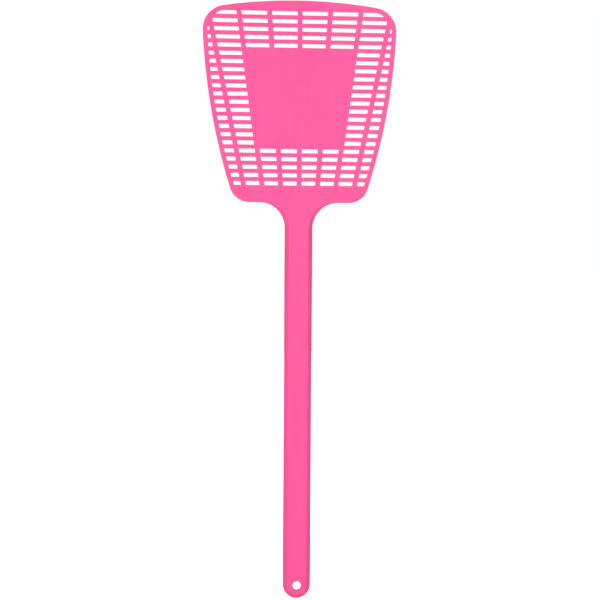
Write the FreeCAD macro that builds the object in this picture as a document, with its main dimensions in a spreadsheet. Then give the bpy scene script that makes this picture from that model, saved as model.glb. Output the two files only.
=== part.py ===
import FreeCAD, Part
import os
import Sketcher
from math import acos, degrees, radians

# One-piece moulded fly swatter, standing on its handle.
# Origin: centre of the hanging hole on the front face. +Z runs up the handle to the blade,
# +X is to the right seen from the front, and the front face looks towards -Y.
# The moulding is one plate with a slotted mesh, on a handle that is a channel open at the back.
# Each region of the moulding is a solid of its own, and neighbours meet face to face.

DIMENSIONS = {
    # blade outline
    "crown_top": 410.3,
    "crown_radius": 350.0,
    "corner_radius": 16.9,
    "side_radius": 433.0,
    "side_centre_across": 364.9,
    "side_centre_up": 409.4,
    "shoulder_radius": 14.1,
    "blade_bottom": 270.0,
    "plate_thickness": 1.6,
    # slotted mesh: rows of openings between ribs that fan out from one point
    "rim_width": 3.2,
    "row_count": 22,
    "row_pitch": 5.63,
    "top_row_up": 401.5,
    "opening_height": 2.83,
    "rib_width": 3.4,
    "rib_spacing": 17.15,
    "fan_radius": 247.6,
    "rows_above_panel": 5,
    "rows_below_panel": 5,
    # neck and handle
    "handle_width": 19.4,
    "handle_depth": 5.6,
    "face_width": 10.8,
    "bevel_width": 3.0,
    "bevel_depth": 2.6,
    "side_wall": 1.8,
    "neck_radius": 17.9,
    "fade_across": 2.2,
    "fade_down": 0.8,
    "ramp_end_up": 268.0,
    "eye_top": 8.0,
    "hole_radius": 2.85,
    "cross_rib_pitch": 25.0,
    "cross_rib_wall": 1.4,
    "cross_rib_depth": 3.0,
    # how far a cutting block reaches past what it cuts
    "margin": 10.0,
}

# Sizes that follow from the driving dimensions.
DERIVED = {
    "slat_height": "row_pitch - opening_height",
    "past_side": "side_radius - side_centre_across + margin",
    "crown_line": "top_row_up + opening_height / 2",
    "web_line": "top_row_up - ( row_count - 1 ) * row_pitch - opening_height / 2",
    "fan_centre_up": "top_row_up - ( row_count - 1 ) * row_pitch / 2 - fan_radius",
    "panel_top": "top_row_up - ( rows_above_panel - 1 ) * row_pitch - opening_height / 2",
    "panel_bottom": "web_line + rows_below_panel * row_pitch - slat_height",
    "panel_lean": "2 * rib_spacing / fan_radius",
    "panel_trim": "rib_width / 2 * sqrt( 1 + panel_lean ^ 2 )",
    "panel_top_half": "( panel_top - fan_centre_up ) * panel_lean + panel_trim",
    "panel_bottom_half": "( panel_bottom - fan_centre_up ) * panel_lean + panel_trim",
    "handle_half": "handle_width / 2",
    "face_half": "face_width / 2",
    "side_strip": "handle_half - face_half",
    "neck_centre_across": "handle_half + neck_radius",
    "neck_centre_up": "blade_bottom - neck_radius",
    "neck_top": "blade_bottom + side_strip",
    "bevel_length": "sqrt( bevel_width ^ 2 + bevel_depth ^ 2 )",
    "inner_bevel_across": "bevel_width"
                          " + plate_thickness * ( bevel_length - bevel_width ) / bevel_depth",
    "inner_bevel_deep": "bevel_depth + ( plate_thickness * bevel_length"
                        " - bevel_depth * side_wall ) / bevel_width",
    "fade_radius": "sqrt( ( neck_radius + bevel_width - fade_across ) ^ 2 + fade_down ^ 2 )",
}

RIB_NAMES = {
    -3: "rib_left_outer", -2: "rib_left_middle", -1: "rib_left_inner", 0: "rib_centre",
    1: "rib_right_inner", 2: "rib_right_middle", 3: "rib_right_outer",
}
CROSS_RIB_COUNT = 10

# Sketch geometry numbers for the sketch's own origin and axes, and for a curve's points.
ORIGIN, ACROSS_AXIS, UP_AXIS = -1, -1, -2
START, END, CENTRE = 1, 2, 3

ALONG_Y = FreeCAD.Rotation(FreeCAD.Vector(1, 0, 0), -90)
SIDEWAYS = FreeCAD.Vector(1, 0, 0)

os.makedirs("parts", exist_ok=True)
doc = FreeCAD.newDocument("fly_swatter")


def fill_sheet():
    """The spreadsheet: one row for each size, its name beside its value."""
    sheet = doc.addObject("Spreadsheet::Sheet", "Sizes")
    formulas = {name: str(number) for name, number in DIMENSIONS.items()}
    formulas.update({name: "=" + formula for name, formula in DERIVED.items()})
    for row, (name, content) in enumerate(formulas.items(), start=1):
        sheet.set(f"A{row}", name)
        sheet.set(f"B{row}", content)
        sheet.setAlias(f"B{row}", name)
    doc.recompute()
    return sheet


sizes = fill_sheet()
SIZE_NAMES = set(DIMENSIONS) | set(DERIVED)


def cells(formula):
    """A formula with the sheet's name put before each size's name. Its words stand apart."""
    return " ".join("Sizes." + word if word in SIZE_NAMES else word for word in formula.split())


def value(formula):
    return float(sizes.evalExpression(cells(formula)))


def bind(thing, formulas):
    for prop, formula in formulas.items():
        thing.setExpression(prop, cells(formula))


# ---------------------------------------------------------------- sketches and bodies

def new_sketch(body, plane, lift=None):
    """A sketch on one of the body's origin planes, moved by lift (across, up, off the plane)."""
    face = next(f for f in body.Origin.OriginFeatures if f.Role == plane)
    sketch = body.newObject("Sketcher::SketchObject", body.Name + "_sketch")
    sketch.AttachmentSupport = [(face, "")]
    sketch.MapMode = "FlatFace"
    if lift:
        offsets = (".AttachmentOffset.Base.x", ".AttachmentOffset.Base.y",
                   ".AttachmentOffset.Base.z")
        bind(sketch, dict(zip(offsets, lift)))
    return sketch


def drive(sketch, kind, geometry, formula):
    """A dimension constraint whose value is bound to a formula in the sheet's sizes."""
    number = value(formula)
    index = sketch.addConstraint(Sketcher.Constraint(kind, *geometry, number))
    sketch.setExpression(f"Constraints[{index}]", cells(formula))


def place_point(sketch, line, across, up):
    """Hold a line's start at (across, up), each a formula measured from the sketch's origin."""
    for kind, axis, formula in (("DistanceX", UP_AXIS, across), ("DistanceY", ACROSS_AXIS, up)):
        if value(formula) == 0:
            sketch.addConstraint(Sketcher.Constraint("PointOnObject", line, START, axis))
        elif value(formula) > 0:
            drive(sketch, kind, (ORIGIN, START, line, START), formula)
        else:
            drive(sketch, kind, (line, START, ORIGIN, START), f"- ( {formula} )")


def polygon(body, plane, corners, lift=None):
    """A closed outline through corners, each a pair of formulas."""
    sketch = new_sketch(body, plane, lift)
    points = [FreeCAD.Vector(value(across), value(up), 0) for across, up in corners]
    count = len(points)
    for i in range(count):
        sketch.addGeometry(Part.LineSegment(points[i], points[(i + 1) % count]))
    for i in range(count):
        sketch.addConstraint(Sketcher.Constraint("Coincident", i, END, (i + 1) % count, START))
    for i, (across, up) in enumerate(corners):
        place_point(sketch, i, across, up)
    return sketch


def new_body(name):
    return doc.addObject("PartDesign::Body", name)


def pad(body, sketch, length, backwards=False, both_ways=False):
    feature = body.newObject("PartDesign::Pad", body.Name + "_pad")
    feature.Profile = sketch
    bind(feature, {"Length": length})
    feature.Reversed = backwards
    feature.Midplane = both_ways
    return feature


def revolve(body, sketch, angle):
    """Turn the sketch about its own upright axis."""
    feature = body.newObject("PartDesign::Revolution", body.Name + "_turn")
    feature.Profile = sketch
    feature.ReferenceAxis = (sketch, ["V_Axis"])
    feature.Angle = angle
    return feature


# ---------------------------------------------------------------- solids and booleans

def block(name, across, deep, up):
    """A box from low to high on each axis, given as pairs of formulas."""
    box = doc.addObject("Part::Box", name)
    bind(box, {
        "Length": f"{across[1]} - ( {across[0]} )",
        "Width": f"{deep[1]} - ( {deep[0]} )",
        "Height": f"{up[1]} - ( {up[0]} )",
        ".Placement.Base.x": across[0],
        ".Placement.Base.y": deep[0],
        ".Placement.Base.z": up[0],
    })
    return box


def combine(kind, name, first, second):
    result = doc.addObject("Part::" + kind, name)
    result.Base = first
    result.Tool = second
    return result


def cut(name, first, second):
    return combine("Cut", name, first, second)


def common(name, first, second):
    return combine("Common", name, first, second)


def fuse(name, shapes):
    result = doc.addObject("Part::MultiFuse", name)
    result.Shapes = shapes
    return result


def mirror(name, source):
    result = doc.addObject("Part::Mirroring", name)
    result.Source = source
    result.Normal = SIDEWAYS
    return result


PLATE = ("0", "plate_thickness")
WIDE = ("- past_side", "past_side")


# ---------------------------------------------------------------- blade plate

def corner_edges(feature, lowest, highest):
    """Names of the edges through the plate whose height lies between lowest and highest."""
    found = []
    half_through = value("plate_thickness") / 2
    for number, edge in enumerate(feature.Shape.Edges, start=1):
        first, last = edge.Vertexes[0].Point, edge.Vertexes[-1].Point
        if abs(first.y - last.y) > half_through and lowest < first.z < highest:
            found.append(f"Edge{number}")
    return found


def round_corners(body, feature, radius, lowest, highest):
    doc.recompute()
    fillet = body.newObject("PartDesign::Fillet", body.Name + "_round")
    fillet.Base = (feature, corner_edges(feature, lowest, highest))
    bind(fillet, {"Radius": radius})
    return fillet


def blade_outline(name, inset, bottom, shoulder_radius):
    """The blade's outline, moved in by inset: a crown arc, two side arcs and a bottom line."""
    body = new_body(name)
    sketch = new_sketch(body, "XZ_Plane")
    crown_radius = f"crown_radius - {inset}"
    side_radius = f"side_radius - {inset}"
    across = value("side_radius - side_centre_across")
    top = degrees(acos(across / value(crown_radius)))
    drop = degrees(acos(value(bottom) / value("side_centre_up"))) / 2
    upwards = FreeCAD.Vector(0, 0, 1)
    arcs = (
        (0, value("crown_top - crown_radius"), value(crown_radius), top, 180 - top),
        (-value("side_centre_across"), value("side_centre_up"), value(side_radius), -drop, 0),
        (value("side_centre_across"), value("side_centre_up"), value(side_radius), 180, 180 + drop),
    )
    for centre_across, centre_up, radius, first, last in arcs:
        circle = Part.Circle(FreeCAD.Vector(centre_across, centre_up, 0), upwards, radius)
        sketch.addGeometry(Part.ArcOfCircle(circle, radians(first), radians(last)))
    low = value(bottom)
    sketch.addGeometry(Part.LineSegment(FreeCAD.Vector(-across, low, 0),
                                        FreeCAD.Vector(across, low, 0)))
    crown, right, left, base = range(4)
    for words in (
        ("Coincident", crown, START, right, END),
        ("Coincident", crown, END, left, START),
        ("Coincident", left, END, base, START),
        ("Coincident", base, END, right, START),
        ("PointOnObject", crown, CENTRE, UP_AXIS),
        ("Horizontal", base),
    ):
        sketch.addConstraint(Sketcher.Constraint(*words))
    drive(sketch, "DistanceY", (ORIGIN, START, crown, CENTRE), "crown_top - crown_radius")
    drive(sketch, "Radius", (crown,), crown_radius)
    drive(sketch, "DistanceX", (right, CENTRE, ORIGIN, START), "side_centre_across")
    drive(sketch, "DistanceX", (ORIGIN, START, left, CENTRE), "side_centre_across")
    for side in (right, left):
        drive(sketch, "DistanceY", (ORIGIN, START, side, CENTRE), "side_centre_up")
        drive(sketch, "Radius", (side,), side_radius)
    drive(sketch, "DistanceY", (ORIGIN, START, base, START), bottom)
    plate = pad(body, sketch, "plate_thickness", backwards=True)
    middle = value("top_row_up / 2 + blade_bottom / 2")
    rounded = round_corners(body, plate, f"corner_radius - {inset}", middle, value("crown_top"))
    if shoulder_radius:
        round_corners(body, rounded, shoulder_radius, 0, middle)
    return body


def imprint_panel():
    """The blank panel: a trapezoid whose sides are the outer edges of the middle ribs."""
    body = new_body("imprint_panel")
    sketch = polygon(body, "XZ_Plane", (
        ("- panel_bottom_half", "panel_bottom"), ("panel_bottom_half", "panel_bottom"),
        ("panel_top_half", "panel_top"), ("- panel_top_half", "panel_top")))
    pad(body, sketch, "plate_thickness", backwards=True)
    return body


def rib_bar(step):
    """A bar from the fan's centre past the crown, leaning by its step across the fan."""
    lean = f"atan( {step} * rib_spacing / fan_radius )"
    bar = doc.addObject("Part::Box", RIB_NAMES[step] + "_bar")
    bar.Placement.Rotation.Axis = FreeCAD.Vector(0, 1, 0)
    bind(bar, {
        "Length": "rib_width",
        "Width": "plate_thickness",
        "Height": "crown_top - fan_centre_up + margin",
        ".Placement.Base.x": f"- rib_width / 2 * cos( {lean} )",
        ".Placement.Base.z": f"fan_centre_up + rib_width / 2 * sin( {lean} )",
        ".Placement.Rotation.Angle": lean,
    })
    return bar


def blade():
    blank = blade_outline("blade_blank", "0", "blade_bottom", "shoulder_radius")
    inner = blade_outline("inner_blank", "rim_width", "web_line", None)
    mesh_band = block("mesh_band", WIDE, PLATE, ("web_line", "crown_line"))
    window = common("mesh_window", inner, mesh_band)
    surround = cut("mesh_surround", blank, window)
    panel = imprint_panel()
    nodes = [panel]

    above = block("above_mesh", WIDE, PLATE, ("crown_line", "crown_top + margin"))
    nodes.append(common("crown", surround, above))
    right_half = block("right_half", ("0", WIDE[1]), PLATE, ("web_line", "crown_line"))
    left_half = block("left_half", (WIDE[0], "0"), PLATE, ("web_line", "crown_line"))
    nodes.append(common("rim_right", surround, right_half))
    nodes.append(common("rim_left", surround, left_half))

    below = block("below_mesh", WIDE, PLATE, ("blade_bottom", "web_line"))
    throat = block("throat", ("- neck_centre_across", "neck_centre_across"), PLATE,
                   ("blade_bottom - margin", "neck_top"))
    nodes.append(cut("shoulder_web", common("shoulder_blank", surround, below), throat))

    open_window = cut("window_beside_panel", window, panel)
    bars = [rib_bar(step) for step in RIB_NAMES]
    for step, bar in zip(RIB_NAMES, bars):
        nodes.append(common(RIB_NAMES[step], open_window, bar))
    bays = cut("bays", open_window, fuse("rib_bars", bars))
    for gap in range(1, DIMENSIONS["row_count"]):
        low = f"top_row_up - {gap} * row_pitch + opening_height / 2"
        strip = block(f"slat_strip_{gap:02d}", WIDE, PLATE, (low, f"{low} + slat_height"))
        nodes.append(common(f"slat_{gap:02d}", bays, strip))
    return nodes


# ---------------------------------------------------------------- handle and neck

def side_profile(edge, beveled):
    """Section of the handle's side wall, from its outer edge towards the middle."""
    inner = [("side_strip", "plate_thickness"), ("inner_bevel_across", "plate_thickness"),
             ("side_wall", "inner_bevel_deep"), ("side_wall", "handle_depth"),
             ("0", "handle_depth")]
    front = [("0", "bevel_depth"), ("bevel_width", "0")] if beveled else [("0", "0")]
    corners = inner + front + [("side_strip", "0")]
    return [(f"{edge} - {across}", deep) for across, deep in corners]


def neck():
    """The flared throat plate, and the side walls that die away up its two arcs.
    An off-centre cone cuts the walls' bevel, so the bevel narrows to nothing up the arc."""
    plate = block("neck_plate", ("- neck_centre_across", "neck_centre_across"), PLATE,
                  ("neck_centre_up", "neck_top"))
    corners = []
    for side, across in (("right", "neck_centre_across"), ("left", "- neck_centre_across")):
        disc = doc.addObject("Part::Cylinder", f"neck_disc_{side}")
        disc.Placement.Rotation = ALONG_Y
        bind(disc, {"Radius": "neck_radius + side_strip", "Height": "plate_thickness",
                    ".Placement.Base.x": across, ".Placement.Base.z": "neck_centre_up"})
        corners.append(disc)
    web = cut("neck_web", plate, fuse("neck_discs", corners))

    strip = new_body("neck_strip")
    sketch = polygon(strip, "XY_Plane", side_profile("- neck_radius", beveled=False),
                     lift=("neck_centre_across", "0", "neck_centre_up"))
    revolve(strip, sketch, 90)
    bevel = doc.addObject("Part::Cone", "neck_bevel")
    bevel.Placement.Rotation = ALONG_Y
    bind(bevel, {"Radius1": "fade_radius", "Radius2": "fade_radius - bevel_width",
                 "Height": "bevel_depth",
                 ".Placement.Base.x": "neck_centre_across - fade_across",
                 ".Placement.Base.z": "neck_centre_up - fade_down"})
    ramp = new_body("neck_ramp")
    slope = polygon(ramp, "YZ_Plane", (
        ("handle_depth", "neck_centre_up"), ("handle_depth + margin", "neck_centre_up"),
        ("handle_depth + margin", "neck_top + margin"),
        ("plate_thickness", "neck_top + margin"), ("plate_thickness", "ramp_end_up")))
    pad(ramp, slope, "2 * neck_centre_across + margin", both_ways=True)
    right = cut("neck_side_right", cut("neck_strip_beveled", strip, bevel), ramp)
    return [web, right, mirror("neck_side_left", right)]


def handle_sides():
    right = new_body("handle_side_right")
    sketch = polygon(right, "XY_Plane", side_profile("handle_half", beveled=True))
    pad(right, sketch, "neck_centre_up")
    tip = new_body("handle_tip")
    sketch = polygon(tip, "XY_Plane", side_profile("handle_half", beveled=True))
    revolve(tip, sketch, 180)
    return [right, mirror("handle_side_left", right), tip]


def hang_eye():
    """The rounded end of the face plate, with the hanging hole through it."""
    body = new_body("hang_eye")
    tab = polygon(body, "XZ_Plane", (("- face_half", "0"), ("face_half", "0"),
                                     ("face_half", "eye_top"), ("- face_half", "eye_top")))
    pad(body, tab, "plate_thickness", backwards=True)
    end = circle_sketch(body, "face_half")
    pad(body, end, "plate_thickness", backwards=True)
    hole = circle_sketch(body, "hole_radius")
    pocket = body.newObject("PartDesign::Pocket", "hanging_hole")
    pocket.Profile = hole
    pocket.Type = "ThroughAll"
    pocket.Midplane = True
    return body


def circle_sketch(body, radius):
    sketch = new_sketch(body, "XZ_Plane")
    middle, off_plane = FreeCAD.Vector(0, 0, 0), FreeCAD.Vector(0, 0, 1)
    sketch.addGeometry(Part.Circle(middle, off_plane, value(radius)))
    sketch.addConstraint(Sketcher.Constraint("Coincident", 0, CENTRE, ORIGIN, START))
    drive(sketch, "Radius", (0,), radius)
    return sketch


def handle():
    sides = handle_sides()
    face = block("handle_face", ("- face_half", "face_half"), PLATE, ("eye_top", "neck_centre_up"))
    nodes = [hang_eye(), face] + sides
    walls = fuse("side_walls", sides[:2])
    for number in range(1, CROSS_RIB_COUNT + 1):
        low = f"{number} * cross_rib_pitch - cross_rib_wall / 2"
        bar = block(f"cross_bar_{number:02d}", ("side_wall - handle_half", "handle_half - side_wall"),
                    ("plate_thickness", "plate_thickness + cross_rib_depth"),
                    (low, f"{low} + cross_rib_wall"))
        nodes.append(cut(f"cross_rib_{number:02d}", bar, walls))
    return nodes


# ---------------------------------------------------------------- check and write

nodes = blade() + neck() + handle()
doc.recompute()

for thing in doc.Objects:
    if "Invalid" in thing.State or "Error" in thing.State:
        raise SystemExit(f"{thing.Label} could not be built: {thing.State}")

for node in nodes:
    node.Label = node.Name
    if node.Shape.isNull() or not node.Shape.isValid() or not node.Shape.Solids:
        raise SystemExit(f"{node.Label} is not a valid solid")
    node.Shape.exportStep(f"parts/{node.Label}.step")

total = sum(node.Shape.Volume for node in nodes)
print(f"{len(nodes)} nodes, {total / 1000:.1f} cm3 in all")
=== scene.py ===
from math import atan2, cos, hypot, pi, radians, sin, sqrt

import bmesh
import bpy
import numpy as np
from mathutils import Matrix, Vector
from mathutils.geometry import delaunay_2d_cdt


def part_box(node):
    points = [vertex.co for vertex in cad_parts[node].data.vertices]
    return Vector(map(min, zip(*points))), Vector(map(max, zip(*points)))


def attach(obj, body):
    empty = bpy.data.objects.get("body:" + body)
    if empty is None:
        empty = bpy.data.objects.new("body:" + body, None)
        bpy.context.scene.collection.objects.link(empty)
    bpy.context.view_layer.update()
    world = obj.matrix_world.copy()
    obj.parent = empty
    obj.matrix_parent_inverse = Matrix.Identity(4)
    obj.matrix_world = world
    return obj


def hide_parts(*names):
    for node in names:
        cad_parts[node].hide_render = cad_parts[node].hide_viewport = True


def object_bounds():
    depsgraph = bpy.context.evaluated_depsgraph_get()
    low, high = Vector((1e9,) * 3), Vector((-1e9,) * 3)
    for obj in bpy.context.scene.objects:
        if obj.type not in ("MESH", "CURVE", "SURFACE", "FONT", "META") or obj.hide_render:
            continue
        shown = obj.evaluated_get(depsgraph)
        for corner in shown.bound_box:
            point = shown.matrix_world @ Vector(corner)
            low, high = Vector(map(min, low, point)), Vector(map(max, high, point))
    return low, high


# A one-piece moulded fly swatter. The mesh blade, neck and channel handle are made here with the small
# radii that a mould leaves, and cut into the same regions as the CAD nodes that they stand for.
# Flat points are (across, up) on the front face. Depth grows from the front face to the back.

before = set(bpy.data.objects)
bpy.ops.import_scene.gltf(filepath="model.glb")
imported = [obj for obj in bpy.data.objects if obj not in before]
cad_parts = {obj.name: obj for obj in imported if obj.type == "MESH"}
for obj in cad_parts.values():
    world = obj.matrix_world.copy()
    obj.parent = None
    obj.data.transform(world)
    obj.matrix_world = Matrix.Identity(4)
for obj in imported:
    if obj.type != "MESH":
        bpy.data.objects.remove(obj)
cad_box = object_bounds()

MM = 0.001

# ---------------------------------------------------------------- sizes from the frame

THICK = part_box("handle_face")[1].y
EYE_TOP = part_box("handle_face")[0].z
FACE_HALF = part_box("handle_face")[1].x
HANDLE_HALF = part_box("handle_side_right")[1].x
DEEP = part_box("handle_side_right")[1].y
NECK_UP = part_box("handle_side_right")[1].z
NECK_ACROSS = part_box("neck_web")[1].x
NECK_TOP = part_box("neck_web")[1].z
NECK_RADIUS = NECK_ACROSS - HANDLE_HALF
BLADE_BOTTOM = NECK_UP + NECK_RADIUS
STRIP = HANDLE_HALF - FACE_HALF

CROWN_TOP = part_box("crown")[1].z
WEB_LINE, CROWN_LINE = (corner.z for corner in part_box("rib_centre"))
SLAT_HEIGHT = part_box("slat_01")[1].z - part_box("slat_01")[0].z
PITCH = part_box("slat_01")[0].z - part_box("slat_02")[0].z
OPENING = PITCH - SLAT_HEIGHT
ROWS = round((CROWN_LINE - WEB_LINE + SLAT_HEIGHT) / PITCH)
TOP_ROW_UP = CROWN_LINE - OPENING / 2
PANEL_LOW, PANEL_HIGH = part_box("imprint_panel")
RIB_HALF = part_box("rib_centre")[1].x

# ---------------------------------------------------------------- driving sizes of the outline

CROWN_RADIUS = 350 * MM
CORNER_RADIUS = 16.9 * MM
SIDE_RADIUS = 433 * MM
SIDE_CENTRE = Vector((-364.9 * MM, 409.4 * MM))
SHOULDER_RADIUS = 14.1 * MM
RIM_WIDTH = 3.2 * MM
RIB_SPACING = 17.15 * MM
FAN_RADIUS = 247.6 * MM
FAN_UP = (WEB_LINE + CROWN_LINE) / 2 - FAN_RADIUS

BEVEL_WIDTH = 3.0 * MM
BEVEL_DEPTH = 2.6 * MM
SIDE_WALL = 1.8 * MM
FADE_ACROSS = 2.2 * MM
FADE_DOWN = 0.8 * MM
RAMP_END = 268.0 * MM
HOLE_RADIUS = 2.85 * MM

# ---------------------------------------------------------------- sizes of the mould's finish

EDGE = 0.55 * MM            # reach of the rounding along every edge of the plate
OPENING_CORNER = 0.5 * MM   # radius in the corners of the mesh openings
BEVEL_EDGE = 0.45 * MM      # reach of the rounding where the handle's face meets its bevels
OUTER_EDGE = 1.1 * MM       # reach of the rounding where the bevels meet the sides
ROOT = 0.8 * MM             # reach of the fillets inside the channel
RUN_OUT = 0.5 * MM          # how much thinner the side walls get where they sink into the neck

RIB_DRAFT = 0.12 * MM       # how much each face of a cross rib leans in, from its root to its crest
RIB_ROOT = 0.5 * MM         # reach of the fillets at a cross rib's root
RIB_CREST = 0.4 * MM        # reach of the rounding along a cross rib's crest
RIB_FLARES = {              # distance from the side wall: how much wider the rib is there on each face
    0.0 * MM: 0.5 * MM, 0.2 * MM: 0.22 * MM, 0.5 * MM: 0.06 * MM, 1.0 * MM: 0.0 * MM,
}
WALL_FOOT = FACE_HALF + 0.7 * MM    # where the channel's side wall meets its floor
WALL_RISE = 1.56 * MM               # how high that wall leans before it stands upright

EJECTOR_RISE = 0.12 * MM
PANEL_PAD = 2.5 * MM        # radius of the ejector pads behind the imprint panel
PANEL_PAD_PLACE = 24 * MM   # how far they lie from the panel's middle, across and up
HANDLE_PAD = 2.2 * MM       # radius of the ejector pads in the channel
GATE_RADIUS = 1.1 * MM
GATE_RISE = 0.45 * MM

# ---------------------------------------------------------------- fineness of the curves

CURVE_STEPS = 4
LONGEST_CUT = 0.47          # share of a line that the rounding at one of its ends may take
ARC_STEP = radians(22.5)    # in the corners of the openings
CORNER_STEPS = 14
SIDE_STEPS = 24
CROWN_STEPS = 12            # on each half of the crown
NECK_STEPS = 24
HALF_TURN_STEPS = 40
PAD_STEPS = 32

# ---------------------------------------------------------------- layout of the mesh

# Bay b lies between rib b and rib b + 1. The panel fills the four middle bays.
MIDDLE_BAYS = range(-2, 2)
ALL_BAYS = range(-4, 4)
RIB_NAMES = {
    -3: "rib_left_outer", -2: "rib_left_middle", -1: "rib_left_inner", 0: "rib_centre",
    1: "rib_right_inner", 2: "rib_right_middle", 3: "rib_right_outer",
}


# ---------------------------------------------------------------- flat geometry

def soften(corners, reaches, steps=CURVE_STEPS):
    """An open line through corners, each inner corner cut back by its reach and rounded."""
    line = [Vector(corners[0])]
    for i in range(1, len(corners) - 1):
        corner = Vector(corners[i])
        ends = []
        for other in (Vector(corners[i - 1]), Vector(corners[i + 1])):
            away = other - corner
            ends.append(corner + away * min(reaches[i - 1] / away.length, LONGEST_CUT))
        for step in range(steps + 1):
            t = step / steps
            line.append(ends[0] * (1 - t) ** 2 + corner * 2 * t * (1 - t) + ends[1] * t ** 2)
    line.append(Vector(corners[-1]))
    return line


def arc_stems(centre, radius, first, last, count):
    """Points along an arc, each with the direction into the material on the arc's inner side."""
    stems = []
    for i in range(count + 1):
        angle = first + (last - first) * i / count
        outwards = Vector((cos(angle), sin(angle)))
        stems.append((centre + outwards * radius, -outwards))
    return stems


def circles_meet(first, first_radius, second, second_radius):
    """The meeting point of two circles that lies further right of the line between them."""
    between = second - first
    along = (between.length_squared + first_radius ** 2 - second_radius ** 2) / (2 * between.length)
    away = sqrt(first_radius ** 2 - along ** 2)
    direction = between.normalized()
    sideways = Vector((-direction.y, direction.x)) * away
    if sideways.x < 0:
        sideways = -sideways
    return first + direction * along + sideways


def blade_stems():
    """The blade's outline from the neck's right end, round the crown, to the neck's left end."""
    crown_centre = Vector((0, CROWN_TOP - CROWN_RADIUS))
    corner = circles_meet(SIDE_CENTRE, SIDE_RADIUS - CORNER_RADIUS,
                          crown_centre, CROWN_RADIUS - CORNER_RADIUS)
    shoulder_up = BLADE_BOTTOM + SHOULDER_RADIUS
    shoulder_drop = SIDE_CENTRE.y - shoulder_up
    shoulder_across = sqrt((SIDE_RADIUS - SHOULDER_RADIUS) ** 2 - shoulder_drop ** 2)
    shoulder = SIDE_CENTRE + Vector((shoulder_across, -shoulder_drop))
    side_low = atan2(-shoulder_drop, shoulder_across)
    side_high = atan2(*(corner - SIDE_CENTRE).yx)
    crown_side = atan2(*(corner - crown_centre).yx)

    right = [(Vector((NECK_ACROSS, BLADE_BOTTOM)), Vector((0, 1)))]
    right += arc_stems(shoulder, SHOULDER_RADIUS, -pi / 2, side_low, CORNER_STEPS)
    right += arc_stems(SIDE_CENTRE, SIDE_RADIUS, side_low, side_high, SIDE_STEPS)[1:]
    right += arc_stems(corner, CORNER_RADIUS, side_high, crown_side, CORNER_STEPS)[1:]
    right += arc_stems(crown_centre, CROWN_RADIUS, crown_side, pi / 2, CROWN_STEPS)[1:]
    left = [(Vector((-point.x, point.y)), Vector((-into.x, into.y))) for point, into in right[-2::-1]]
    return right + left


def keep_side(polygon, outwards, limit):
    """The part of a convex polygon that lies no further than limit along outwards."""
    kept = []
    for i, point in enumerate(polygon):
        after = polygon[(i + 1) % len(polygon)]
        here, there = point.dot(outwards) - limit, after.dot(outwards) - limit
        if here <= 0:
            kept.append(point)
        if here * there < 0:
            kept.append(point + (after - point) * (here / (here - there)))
    return kept


def tidy_polygon(polygon, shortest=0.02 * MM):
    """The polygon without the points that lie almost on top of the one before."""
    return [p for i, p in enumerate(polygon) if (p - polygon[i - 1]).length > shortest]


def outward_sides(polygon):
    """For each side of a polygon that turns left: its outward direction."""
    sides = []
    for i, point in enumerate(polygon):
        along = (polygon[(i + 1) % len(polygon)] - point).normalized()
        sides.append(Vector((along.y, -along.x)))
    return sides


def rounded_stems(polygon, radius):
    """A convex opening with its corners rounded, each point with the direction into the material."""
    core = []
    while len(core) < 3:
        core = list(polygon)
        for point, outwards in zip(polygon, outward_sides(polygon)):
            core = keep_side(core, outwards, point.dot(outwards) - radius)
        core = tidy_polygon(core)
        if len(core) < 3:
            radius *= 0.85
    sides = outward_sides(core)
    stems = []
    for i, point in enumerate(core):
        before, after = sides[i - 1], sides[i]
        turn = before.angle(after)
        if turn < ARC_STEP / 2:
            middle = (before + after).normalized() / cos(turn / 2)
            stems.append((point + middle * radius, middle))
            continue
        first = atan2(before.y, before.x)
        count = max(2, round(turn / ARC_STEP))
        for step in range(count + 1):
            angle = first + turn * step / count
            outwards = Vector((cos(angle), sin(angle)))
            stems.append((point + outwards * radius, outwards))
    return stems


# ---------------------------------------------------------------- pieces

def make_piece(name, shells, material):
    """One object from closed shells of (points, faces). It stands for the CAD node of its name."""
    mesh = bpy.data.meshes.new(name)
    work = bmesh.new()
    for points, faces in shells:
        corners = [work.verts.new(point) for point in points]
        for face in faces:
            work.faces.new([corners[i] for i in face])
    bmesh.ops.recalc_face_normals(work, faces=work.faces)
    work.to_mesh(mesh)
    work.free()
    mesh.shade_smooth()
    mesh.set_sharp_from_angle(angle=radians(38))
    piece = bpy.data.objects.new(name + "_moulded", mesh)
    bpy.context.scene.collection.objects.link(piece)
    weighted = piece.modifiers.new("even_flats", "WEIGHTED_NORMAL")
    weighted.keep_sharp = True
    weighted.weight = 100
    mesh.materials.append(material)
    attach(piece, "root")
    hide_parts(name)
    return piece


def loft(loops, closed=False):
    """A shell through loops of points. It is capped at both ends, or closed into a ring."""
    count = len(loops[0])
    points = [point for loop in loops for point in loop]
    faces = []
    for k in range(len(loops) if closed else len(loops) - 1):
        low, high = k * count, (k + 1) % len(loops) * count
        for i in range(count):
            j = (i + 1) % count
            faces.append((low + i, low + j, high + j, high + i))
    if not closed:
        faces.append(tuple(range(count)))
        faces.append(tuple(range(len(points) - count, len(points))))
    return points, faces


def prism(outline, front, back):
    """A flat shell with this outline of (across, up), from one depth to another."""
    return loft([[(p[0], depth, p[1]) for p in outline] for depth in (front, back)])


def disc_mark(across, up, radius, rise):
    """The low round pad that an ejector pin leaves on the back of the plate."""
    profile = [(radius, -0.1 * MM), (radius, 0.0), (radius - rise, rise), (0.3 * radius, rise)]
    loops = []
    for reach, height in profile:
        loop = []
        for i in range(PAD_STEPS):
            angle = 2 * pi * i / PAD_STEPS
            loop.append((across + reach * cos(angle), THICK + height, up + reach * sin(angle)))
        loops.append(loop)
    return loft(loops)


# ---------------------------------------------------------------- the plate: blade regions

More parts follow.
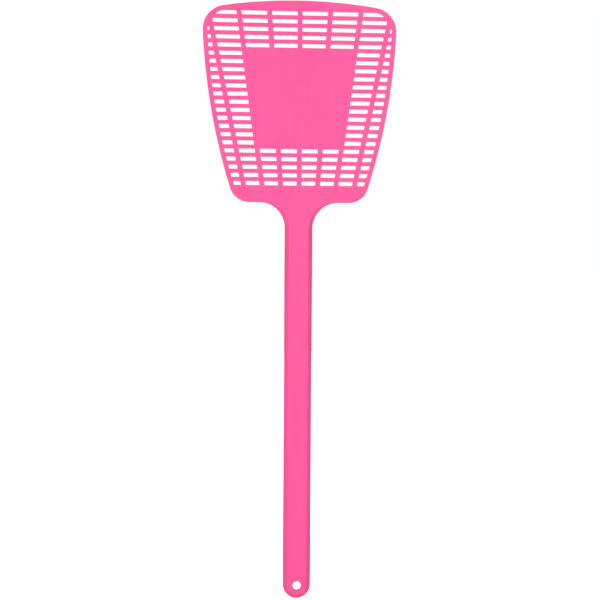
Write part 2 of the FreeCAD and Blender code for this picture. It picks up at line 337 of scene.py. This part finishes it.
PLATE_EDGE = soften([(STRIP, 0), (EDGE / 2, 0), (0, EDGE / 2), (0, THICK - EDGE / 2),
                     (EDGE / 2, THICK), (STRIP, THICK)], [EDGE / 2] * 4)[1:-1]


class Plate:
    """The flat blade as points, rings of edges and seams, cut into regions by a triangulation."""

    def __init__(self):
        self.flat = []       # each point's (across, up) on the flat faces
        self.columns = []    # each point's 3-D places from the front face to the back
        self.edges = set()   # pairs of points along an outline or an opening
        self.seams = set()   # pairs of points where two regions meet

    def add_stem(self, point, into):
        line = [point + into * inset for inset, depth in PLATE_EDGE]
        self.flat.append(line[0])
        self.columns.append([(p.x, depth, p.y) for p, (inset, depth) in zip(line, PLATE_EDGE)])
        return len(self.flat) - 1

    def add_inner(self, point):
        self.flat.append(Vector(point))
        self.columns.append([(point[0], 0.0, point[1]), (point[0], THICK, point[1])])
        return len(self.flat) - 1

    def add_chain(self, indices, closed):
        pairs = zip(indices, indices[1:] + indices[:1] if closed else indices[1:])
        self.edges.update(frozenset(pair) for pair in pairs)

    def add_seam(self, *indices):
        self.seams.update(frozenset(pair) for pair in zip(indices, indices[1:]))

    def triangulate(self):
        """Triangles of the flat face, and the number of the cell that each one belongs to."""
        barriers = self.edges | self.seams
        made = delaunay_2d_cdt([p / MM for p in self.flat], [tuple(b) for b in barriers], [],
                               0, 1e-6)
        source = [ids[0] for ids in made[3]]
        triangles = [tuple(source[i] for i in face) for face in made[2]]
        beside = {}
        for number, (a, b, c) in enumerate(triangles):
            for pair in ((a, b), (b, c), (c, a)):
                if frozenset(pair) not in barriers:
                    beside.setdefault(frozenset(pair), []).append(number)
        neighbours = [[] for _ in triangles]
        for pair in beside.values():
            if len(pair) == 2:
                neighbours[pair[0]].append(pair[1])
                neighbours[pair[1]].append(pair[0])
        cells = [None] * len(triangles)
        for start in range(len(triangles)):
            if cells[start] is not None:
                continue
            cells[start] = start
            waiting = [start]
            while waiting:
                for other in neighbours[waiting.pop()]:
                    if cells[other] is None:
                        cells[other] = start
                        waiting.append(other)
        return triangles, cells

    def regions(self, seeds):
        """One closed shell for each name, from the cells that hold its seed points."""
        triangles, cells = self.triangulate()
        corners = np.array([[self.flat[i] for i in triangle] for triangle in triangles])
        names = {}
        for name, point in seeds:
            names[cells[triangle_at(corners, point)]] = name
        members = {}
        for triangle, cell in zip(triangles, cells):
            if cell in names:
                members.setdefault(names[cell], []).append(triangle)
        return {name: self.shell(members[name]) for name in members}

    def shell(self, triangles):
        """Front and back faces of some triangles, and the walls all round them."""
        sides = {pair for a, b, c in triangles for pair in ((a, b), (b, c), (c, a))}
        points, place = [], {}
        faces = []

        def at(index, level):
            if (index, level) not in place:
                place[index, level] = len(points)
                points.append(self.columns[index][level])
            return place[index, level]

        for triangle in triangles:
            faces.append([at(i, 0) for i in triangle])
            faces.append([at(i, len(self.columns[i]) - 1) for i in reversed(triangle)])
        for a, b in sides:
            if (b, a) in sides:
                continue
            if frozenset((a, b)) in self.edges:
                for level in range(len(self.columns[a]) - 1):
                    faces.append([at(b, level), at(a, level), at(a, level + 1), at(b, level + 1)])
            else:
                down = [at(a, level) for level in range(len(self.columns[a]))]
                up = [at(b, level) for level in reversed(range(len(self.columns[b])))]
                faces.append(down + up)
        return points, faces


def triangle_at(corners, point):
    """The number of the triangle that holds the point."""
    a, b, c = corners[:, 0], corners[:, 1], corners[:, 2]
    p = np.array(point)

    def side(first, second):
        return ((second[:, 0] - first[:, 0]) * (p[1] - first[:, 1])
                - (second[:, 1] - first[:, 1]) * (p[0] - first[:, 0]))

    inside = (side(a, b) >= 0) & (side(b, c) >= 0) & (side(c, a) >= 0)
    return int(np.flatnonzero(inside)[0])


def row_up(row):
    return TOP_ROW_UP - row * PITCH


def rib_across(rib, up):
    return rib * RIB_SPACING * (up - FAN_UP) / FAN_RADIUS


def bay_polygon(window, row, bay):
    """The sharp-cornered opening between two ribs in one row, inside the mesh window."""
    polygon = keep_side(window, Vector((0, 1)), row_up(row) + OPENING / 2)
    polygon = keep_side(polygon, Vector((0, -1)), OPENING / 2 - row_up(row))
    for rib, side in ((bay, -1), (bay + 1, 1)):
        if rib in RIB_NAMES:
            lean = rib * RIB_SPACING / FAN_RADIUS
            outwards = Vector((side, -side * lean)).normalized()
            polygon = keep_side(polygon, outwards, outwards.y * FAN_UP - RIB_HALF)
    return tidy_polygon(polygon)


def wide_enough(polygon, narrowest=0.6 * MM):
    return len(polygon) > 2 and max(p.x for p in polygon) - min(p.x for p in polygon) > narrowest


def add_openings(plate, outline):
    """Every opening of the mesh, as {(row, bay): the numbers of its points in the plate}."""
    window = [point + into * RIM_WIDTH for point, into in outline]
    openings = {}
    panel_rows = [row for row in range(ROWS) if PANEL_LOW.z < row_up(row) < PANEL_HIGH.z]
    for row in range(ROWS):
        for bay in ALL_BAYS:
            if row in panel_rows and bay in MIDDLE_BAYS:
                continue
            polygon = bay_polygon(window, row, bay)
            if wide_enough(polygon):
                stems = rounded_stems(polygon, OPENING_CORNER)
                openings[row, bay] = [plate.add_stem(*stem) for stem in stems]
                plate.add_chain(openings[row, bay], closed=True)
    return openings


def wall_end(plate, opening, upper, right):
    """The point where an opening's upper or lower wall ends, on its right or left."""
    level = max if upper else min
    height = level(plate.flat[i].y for i in opening)
    wall = [i for i in opening if abs(plate.flat[i].y - height) < 0.005 * MM]
    return (max if right else min)(wall, key=lambda i: plate.flat[i].x)


def add_slat_seams(plate, openings):
    """The seams at both ends of each stretch of slat, and a seed point in each stretch."""
    seeds = []
    for (row, bay), upper_opening in openings.items():
        if (row + 1, bay) not in openings:
            continue
        across = []
        for right in (False, True):
            over = wall_end(plate, upper_opening, False, right)
            under = wall_end(plate, openings[row + 1, bay], True, right)
            plate.add_seam(over, under)
            across += [plate.flat[over].x, plate.flat[under].x]
        seeds.append((f"slat_{row + 1:02d}", (sum(across) / len(across), row_up(row + 0.5))))
    return seeds


def add_row_seams(plate, openings):
    """The seams across the ribs: along the crown, the shoulder web, and the panel's top and foot."""
    over_panel = max(row for row in range(ROWS) if row_up(row) > PANEL_HIGH.z)
    under_panel = min(row for row in range(ROWS) if row_up(row) < PANEL_LOW.z)
    panel_bays = range(MIDDLE_BAYS.start - 1, MIDDLE_BAYS.stop)
    for row, upper, bays in ((0, True, ALL_BAYS), (ROWS - 1, False, ALL_BAYS),
                             (over_panel, False, panel_bays), (under_panel, True, panel_bays)):
        for bay in bays:
            if (row, bay) in openings and (row, bay + 1) in openings:
                plate.add_seam(wall_end(plate, openings[row, bay], upper, True),
                               wall_end(plate, openings[row, bay + 1], upper, False))


def add_rim_seams(plate, openings, rim):
    """The seams that part the rims from the crown and the web, and from the slanted outer ribs."""
    for row, upper in ((0, True), (ROWS - 1, False)):
        bays = [bay for r, bay in openings if r == row]
        for bay, right in ((min(bays), False), (max(bays), True)):
            corner = wall_end(plate, openings[row, bay], upper, right)
            here = plate.flat[corner]
            side = [i for i in rim if plate.flat[i].x * here.x > 0]
            plate.add_seam(corner, min(side, key=lambda i: abs(plate.flat[i].y - here.y)))
    first_full = min(row for row, bay in openings if bay == max(ALL_BAYS))
    for side, inner_bay, outer_bay in ((1, 2, 3), (-1, -3, -4)):
        tip = max(openings[first_full - 1, inner_bay], key=lambda i: side * plate.flat[i].x)
        plate.add_seam(tip, wall_end(plate, openings[first_full, outer_bay], True, side < 0))


def blade_seeds(outline):
    """A seed point in every region of the blade but the slats. Outer ribs come in two parts."""
    seeds = [(name, (rib_across(rib, row_up(row)), row_up(row)))
             for rib, name in RIB_NAMES.items() for row in (1, ROWS - 2)]
    edge, into = outline[len(outline) // 5]
    inside = edge + into * RIM_WIDTH / 2
    return seeds + [("rim_right", inside), ("rim_left", (-inside.x, inside.y)),
                    ("crown", (0.0, (CROWN_LINE + CROWN_TOP) / 2)),
                    ("shoulder_web", (0.0, (WEB_LINE + NECK_TOP) / 2)),
                    ("imprint_panel", (0.0, (PANEL_LOW.z + PANEL_HIGH.z) / 2))]


def blade_regions():
    """The blade's shells by node name: crown, rims, ribs, slats, imprint panel and shoulder web."""
    plate = Plate()
    outline = blade_stems()
    rim = [plate.add_stem(*stem) for stem in outline]
    plate.add_chain(rim, closed=False)
    throat_left = plate.add_inner((-NECK_ACROSS, NECK_TOP))
    throat_right = plate.add_inner((NECK_ACROSS, NECK_TOP))
    plate.add_seam(rim[-1], throat_left, throat_right, rim[0])
    openings = add_openings(plate, outline)
    slat_seeds = add_slat_seams(plate, openings)
    add_row_seams(plate, openings)
    add_rim_seams(plate, openings, rim)
    return plate.regions(slat_seeds + blade_seeds(outline))


# ---------------------------------------------------------------- neck and handle

def neck_bevel(angle):
    """How wide the bevel is at an angle up the neck's arc. It is cut by an off-centre cone."""
    fade_radius = hypot(NECK_RADIUS + BEVEL_WIDTH - FADE_ACROSS, FADE_DOWN)
    along = FADE_ACROSS * cos(angle) - FADE_DOWN * sin(angle)
    off_centre = FADE_ACROSS ** 2 + FADE_DOWN ** 2
    reach = along + sqrt(along ** 2 + fade_radius ** 2 - off_centre)
    return hypot(max(0.0, reach - NECK_RADIUS), EDGE / 2)


def neck_depth(angle):
    """How deep the side wall is at an angle up the neck's arc: it sinks smoothly to the plate."""
    up = (NECK_RADIUS + SIDE_WALL / 2) * sin(angle)
    t = min(1.0, up / (RAMP_END - NECK_UP))
    return DEEP - (DEEP - THICK) * t * t * (3 - 2 * t)


def wall_section(bevel, depth):
    """Section of a side wall as (inset from the outer edge, depth), round from front to back."""
    length = hypot(BEVEL_WIDTH, BEVEL_DEPTH)
    foot = BEVEL_WIDTH + THICK * (length - BEVEL_WIDTH) / BEVEL_DEPTH
    knee = BEVEL_DEPTH + (THICK * length - BEVEL_DEPTH * SIDE_WALL) / BEVEL_WIDTH
    slope = (foot - SIDE_WALL) / (knee - THICK)
    sunk = 1 - (depth - THICK) / (DEEP - THICK)
    knee = min(knee, THICK + 0.6 * (depth - THICK))
    crest_rise = min(depth - THICK, (foot - SIDE_WALL) / slope)
    crest_inset = foot - slope * crest_rise - RUN_OUT * sunk
    knee_inset = foot - slope * (knee - THICK) - RUN_OUT / 2 * sunk
    fall = bevel * BEVEL_DEPTH / BEVEL_WIDTH * (1 - sunk) + bevel * sunk
    corners = [(STRIP, 0), (bevel, 0), (0, fall), (0, depth - EDGE / 2), (EDGE / 2, depth),
               (crest_inset, depth), (knee_inset, knee), (foot, THICK), (STRIP, THICK)]
    inner, outer = (edge * (1 - sunk) + EDGE / 2 * sunk for edge in (BEVEL_EDGE, OUTER_EDGE))
    return soften(corners, [inner, outer, EDGE / 2, EDGE / 2, EDGE, ROOT, ROOT])


def neck_loops():
    """Sections of the right side wall, from the handle round the neck's arc to the blade."""
    loops = []
    for i in range(NECK_STEPS + 1):
        angle = pi / 2 * i / NECK_STEPS
        loop = []
        for inset, depth in wall_section(neck_bevel(angle), neck_depth(angle)):
            reach = NECK_RADIUS + inset
            loop.append((NECK_ACROSS - reach * cos(angle), depth, NECK_UP + reach * sin(angle)))
        loops.append(loop)
    return loops


def mirrored(shell):
    points, faces = shell
    return [(-x, y, z) for x, y, z in points], faces


def side_wall_shell():
    section = wall_section(neck_bevel(0), DEEP)
    return loft([[(HANDLE_HALF - inset, depth, up) for inset, depth in section]
                 for up in (0.0, NECK_UP)])


def tip_shell():
    section = wall_section(neck_bevel(0), DEEP)
    loops = []
    for i in range(HALF_TURN_STEPS + 1):
        angle = -pi * i / HALF_TURN_STEPS
        loops.append([((HANDLE_HALF - inset) * cos(angle), depth, (HANDLE_HALF - inset) * sin(angle))
                      for inset, depth in section])
    return loft(loops)


def neck_web_shell():
    right = [(x, z) for x, y, z in (loop[0] for loop in neck_loops())]
    left = [(-x, z) for x, z in reversed(right)]
    return prism(right + left, 0.0, THICK)


def eye_shells():
    """The end of the plate, and a ring round the hanging hole with softened rims."""
    outline = [(FACE_HALF, EYE_TOP), (-FACE_HALF, EYE_TOP)]
    for i in range(HALF_TURN_STEPS + 1):
        angle = pi - pi * i / HALF_TURN_STEPS
        outline.append((FACE_HALF * cos(angle), FACE_HALF * sin(angle)))
    tab = prism(outline, 0.0, THICK)
    section = soften([(FACE_HALF, 0), (HOLE_RADIUS, 0), (HOLE_RADIUS, THICK), (FACE_HALF, THICK)],
                     [EDGE, EDGE])
    loops = []
    for i in range(2 * HALF_TURN_STEPS):
        angle = -pi * i / HALF_TURN_STEPS
        loops.append([(reach * cos(angle), depth, reach * sin(angle)) for reach, depth in section])
    return [tab, loft(loops, closed=True)]


def cross_rib_outline(half, high, flare):
    """Section of a cross rib as (along the handle, depth), wider on each face by its flare."""
    crest = min(DEEP - RIB_CREST, high + flare)
    side = [(half + RIB_ROOT + flare, THICK), (half + flare, THICK + RIB_ROOT),
            (half - RIB_DRAFT + flare, crest)]
    corners = [(-along, depth) for along, depth in side] + side[::-1]
    return soften(corners, [RIB_ROOT / 2, RIB_CREST, RIB_CREST, RIB_ROOT / 2])


def cross_rib_shell(node):
    """One stiffening rib across the channel, with draft, a rounded crest and fillets at its ends."""
    low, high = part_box(node)
    middle, half = (low.z + high.z) / 2, (high.z - low.z) / 2
    slope = (high.x - WALL_FOOT) / WALL_RISE
    halves = []
    for side in (-1, 1):
        loops = []
        for gap, flare in RIB_FLARES.items():
            loop = []
            for along, depth in cross_rib_outline(half, high.y, flare):
                reach = min(high.x, WALL_FOOT + (depth - THICK) * slope)
                loop.append((side * (reach - gap), depth, middle + along))
            loops.append(loop)
        halves.append(loops)
    left, right = halves
    return loft(left + right[::-1])


# ---------------------------------------------------------------- material

def add_node(tree, kind, **settings):
    """A node with its sockets set by name, and its own settings set by attribute."""
    node = tree.nodes.new(kind)
    for name, setting in settings.items():
        if name in node.inputs:
            node.inputs[name].default_value = setting
        else:
            setattr(node, name, setting)
    return node


def pink_plastic():
    """Hot pink moulded polypropylene: satin, with faint flow marks, handling smudges and scratches."""
    material = bpy.data.materials.new("pink_plastic_moulded")
    material.use_nodes = True
    tree = material.node_tree
    link = tree.links.new
    shader = tree.nodes["Principled BSDF"]
    shader.inputs["IOR"].default_value = 1.49
    shader.inputs["Specular IOR Level"].default_value = 0.35
    place = add_node(tree, "ShaderNodeTexCoord")

    stretched = add_node(tree, "ShaderNodeMapping", Scale=(1.0, 1.0, 0.22))
    link(place.outputs["Object"], stretched.inputs["Vector"])
    flow = add_node(tree, "ShaderNodeTexNoise", Scale=60.0, Detail=3.0, Distortion=0.8)
    link(stretched.outputs["Vector"], flow.inputs["Vector"])
    colour = add_node(tree, "ShaderNodeValToRGB")
    colour.color_ramp.elements[0].position = 0.3
    colour.color_ramp.elements[0].color = (0.94, 0.080, 0.292, 1)
    colour.color_ramp.elements[1].position = 0.7
    colour.color_ramp.elements[1].color = (0.96, 0.092, 0.312, 1)
    link(flow.outputs["Fac"], colour.inputs["Fac"])
    link(colour.outputs["Color"], shader.inputs["Base Color"])

    smudges = add_node(tree, "ShaderNodeTexNoise", Scale=95.0, Detail=4.0, Roughness=0.6)
    link(place.outputs["Object"], smudges.inputs["Vector"])
    satin = add_node(tree, "ShaderNodeMapRange")
    satin.inputs["From Min"].default_value = 0.35
    satin.inputs["From Max"].default_value = 0.65
    satin.inputs["To Min"].default_value = 0.34
    satin.inputs["To Max"].default_value = 0.46
    link(smudges.outputs["Fac"], satin.inputs["Value"])
    link(satin.outputs["Result"], shader.inputs["Roughness"])

    peel = add_node(tree, "ShaderNodeTexNoise", Scale=1400.0, Detail=2.0)
    link(place.outputs["Object"], peel.inputs["Vector"])
    scratch_place = add_node(tree, "ShaderNodeMapping", Scale=(1.0, 1.0, 0.06), Rotation=(0, 0.5, 0))
    link(place.outputs["Object"], scratch_place.inputs["Vector"])
    scratches = add_node(tree, "ShaderNodeTexNoise", Scale=900.0, Detail=1.0)
    link(scratch_place.outputs["Vector"], scratches.inputs["Vector"])
    thin = add_node(tree, "ShaderNodeMapRange")
    thin.inputs["From Min"].default_value = 0.7
    thin.inputs["From Max"].default_value = 0.76
    link(scratches.outputs["Fac"], thin.inputs["Value"])
    skin = add_node(tree, "ShaderNodeBump", Strength=0.25, Distance=0.03 * MM)
    link(peel.outputs["Fac"], skin.inputs["Height"])
    marks = add_node(tree, "ShaderNodeBump", Strength=0.2, Distance=0.02 * MM, invert=True)
    link(thin.outputs["Result"], marks.inputs["Height"])
    link(skin.outputs["Normal"], marks.inputs["Normal"])
    link(marks.outputs["Normal"], shader.inputs["Normal"])
    return material


# ---------------------------------------------------------------- stage, lights and camera

def add_floor():
    """A plain pale floor under the handle's tip."""
    level = cad_box[0][2]
    bpy.ops.mesh.primitive_plane_add(size=30, location=(0, 0, level))
    floor = bpy.context.object
    floor.name = "floor"
    material = bpy.data.materials.new("pale_floor")
    material.use_nodes = True
    tree = material.node_tree
    shader = tree.nodes["Principled BSDF"]
    shader.inputs["Base Color"].default_value = (0.9, 0.9, 0.9, 1)
    shader.inputs["Roughness"].default_value = 0.8
    shader.inputs["Emission Color"].default_value = (1, 1, 1, 1)
    seen = add_node(tree, "ShaderNodeLightPath")
    glow = add_node(tree, "ShaderNodeMath", operation="MULTIPLY")
    glow.inputs[1].default_value = 0.9
    tree.links.new(seen.outputs["Is Camera Ray"], glow.inputs[0])
    tree.links.new(glow.outputs["Value"], shader.inputs["Emission Strength"])
    floor.data.materials.append(material)


def add_world():
    """White all round to the eye, and dimmer as a light."""
    world = bpy.data.worlds.new("studio")
    bpy.context.scene.world = world
    world.use_nodes = True
    tree = world.node_tree
    background = tree.nodes["Background"]
    seen = add_node(tree, "ShaderNodeLightPath")
    strength = add_node(tree, "ShaderNodeMapRange")
    strength.inputs["To Min"].default_value = 0.17
    strength.inputs["To Max"].default_value = 1.0
    tree.links.new(seen.outputs["Is Camera Ray"], strength.inputs["Value"])
    tree.links.new(strength.outputs["Result"], background.inputs["Strength"])
    background.inputs["Color"].default_value = (1, 1, 1, 1)


def add_light(name, place, aim, size, power):
    light = bpy.data.lights.new(name, "AREA")
    light.shape = "DISK"
    light.size = size
    light.energy = power
    lamp = bpy.data.objects.new(name, light)
    lamp.location = place
    lamp.rotation_euler = (Vector(aim) - Vector(place)).to_track_quat("-Z", "Y").to_euler()
    lamp.visible_camera = False
    bpy.context.scene.collection.objects.link(lamp)


def add_lights():
    """Two soft lights on either side of the camera, the left one stronger, and a soft one behind."""
    centre = (0, 0, 0.2)
    add_light("left", (-1.03, -1.54, 0.6), centre, 0.8, 18.7)
    add_light("right", (0.87, -1.64, 0.6), centre, 0.8, 14.0)
    add_light("back", (0.3, 2.1, 0.9), centre, 1.2, 33)


def add_camera():
    """Level with the middle of the handle, a little left of the front, as a product shot is taken."""
    camera = bpy.data.cameras.new("camera")
    camera.lens = 68.5
    camera.sensor_width = 36.0
    camera.clip_start = 0.01
    view = bpy.data.objects.new("camera", camera)
    aim = Vector((1.1 * MM, 0, 201.75 * MM))
    turn = (Matrix.Rotation(radians(-3.6), 4, "Z") @ Matrix.Rotation(radians(90 - 1.65), 4, "X")
            @ Matrix.Rotation(radians(0.36), 4, "Z"))
    distance = 800.6 * MM
    view.matrix_world = Matrix.Translation(aim + turn @ Vector((0, 0, distance))) @ turn
    bpy.context.scene.collection.objects.link(view)
    bpy.context.scene.camera = view


# ---------------------------------------------------------------- build

def panel_marks():
    """Four ejector pads behind the imprint panel, and the gate mark in its middle."""
    middle = (PANEL_LOW.z + PANEL_HIGH.z) / 2
    places = (-PANEL_PAD_PLACE, PANEL_PAD_PLACE)
    pads = [disc_mark(across, middle + up, PANEL_PAD, EJECTOR_RISE) for across in places for up in places]
    return pads + [disc_mark(0.0, middle, GATE_RADIUS, GATE_RISE)]


def handle_face_shells(cross_ribs):
    """The handle's flat face, with an ejector pad in every other space between the cross ribs."""
    face = prism([(FACE_HALF, EYE_TOP), (FACE_HALF, NECK_UP), (-FACE_HALF, NECK_UP),
                  (-FACE_HALF, EYE_TOP)], 0.0, THICK)
    levels = [(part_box(name)[0].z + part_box(name)[1].z) / 2 for name in cross_ribs]
    spaces = list(zip(levels, levels[1:]))[::2]
    return [face] + [disc_mark(0.0, (low + high) / 2, HANDLE_PAD, EJECTOR_RISE) for low, high in spaces]


plastic = pink_plastic()
for node, shell in blade_regions().items():
    marks = panel_marks() if node == "imprint_panel" else []
    make_piece(node, [shell] + marks, plastic)

neck_side = loft(neck_loops())
make_piece("neck_side_right", [neck_side], plastic)
make_piece("neck_side_left", [mirrored(neck_side)], plastic)
make_piece("neck_web", [neck_web_shell()], plastic)

wall = side_wall_shell()
make_piece("handle_side_right", [wall], plastic)
make_piece("handle_side_left", [mirrored(wall)], plastic)
make_piece("handle_tip", [tip_shell()], plastic)
make_piece("hang_eye", eye_shells(), plastic)

cross_ribs = sorted(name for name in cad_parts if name.startswith("cross_rib_"))
make_piece("handle_face", handle_face_shells(cross_ribs), plastic)
for name in cross_ribs:
    make_piece(name, [cross_rib_shell(name)], plastic)

add_floor()
add_world()
add_lights()
add_camera()
bpy.context.scene.view_settings.view_transform = "Standard"
